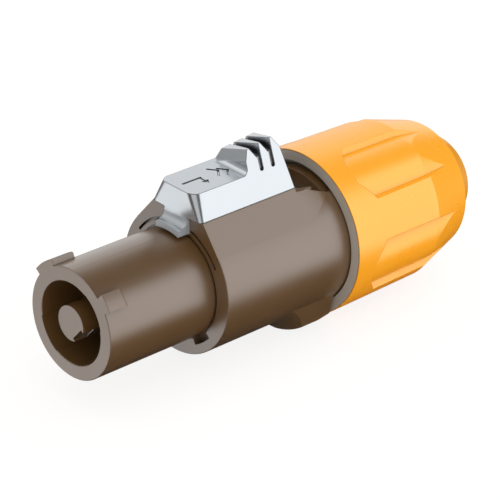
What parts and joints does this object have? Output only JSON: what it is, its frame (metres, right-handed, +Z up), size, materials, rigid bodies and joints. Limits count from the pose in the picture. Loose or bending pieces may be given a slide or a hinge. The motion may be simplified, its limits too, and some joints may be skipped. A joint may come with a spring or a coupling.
{
  "type": "twist-lock power connector",
  "caption": "Cable-end twist-lock power connector with a keyed barrel, a sliding thumb latch and a ribbed gland nut.",
  "frame": {"origin": "centre of the barrel's front face", "axes": "+X along the barrel, out of the mating end; +Z up, towards the latch; +Y to the side"},
  "size_m": [0.1068, 0.037, 0.0459],
  "materials": {
    "housing_plastic": "fine moulded texture, satin",
    "nut_plastic": "fine moulded texture, satin",
    "latch_metal": "cast zinc, satin nickel plate",
    "grip_orange": "smooth soft grip, satin",
    "carrier_plastic": "moulded, satin",
    "spring_steel": "drawn wire and pressed strip",
    "seat_plastic": "moulded, matte",
    "contact_silver": "silver plated copper alloy",
    "clamp_brass": "machined, plated",
    "screw_steel": "zinc plated",
    "chuck_plastic": "moulded, satin",
    "seal_rubber": "moulded rubber"
  },
  "bodies": {
    "housing": {"housing": "housing_plastic", "latch_spring": "spring_steel", "spring_seat": "seat_plastic", "spring_pin": "spring_steel", "contact_carrier": "carrier_plastic", "carrier_clip": "spring_steel", "neck_seal": "seal_rubber", "live_contact": "contact_silver", "live_clamp": "clamp_brass", "live_screw": "screw_steel", "neutral_contact": "contact_silver", "neutral_clamp": "clamp_brass", "neutral_screw": "screw_steel", "earth_contact": "contact_silver", "earth_clamp": "clamp_brass", "earth_screw": "screw_steel"},
    "latch": {"latch": "latch_metal"},
    "chuck": {"cable_chuck": "chuck_plastic"},
    "gland": {"gland_nut": "nut_plastic", "grip_sleeve": "grip_orange"}
  },
  "joints": [
    {"name": "latch_slide", "type": "slide", "parent": "housing", "child": "latch", "axis": [-1, 0, 0], "range_m": [0, 0.0032], "stiffness_N_per_m": 800, "springref_m": -0.001, "deforming": ["latch_spring"]},
    {"name": "gland_advance", "type": "slide", "parent": "housing", "child": "chuck", "axis": [-1, 0, 0], "range_m": [0, 0.006]},
    {"name": "gland_turn", "type": "hinge", "parent": "chuck", "child": "gland", "pos_m": [-0.08, 0, 0], "axis": [-1, 0, 0], "range_deg": [0, 1080]}
  ],
  "couplings": [
    {"joint": "gland_advance", "follows": "gland_turn", "m_per_rad": 0.0003183}
  ]
}
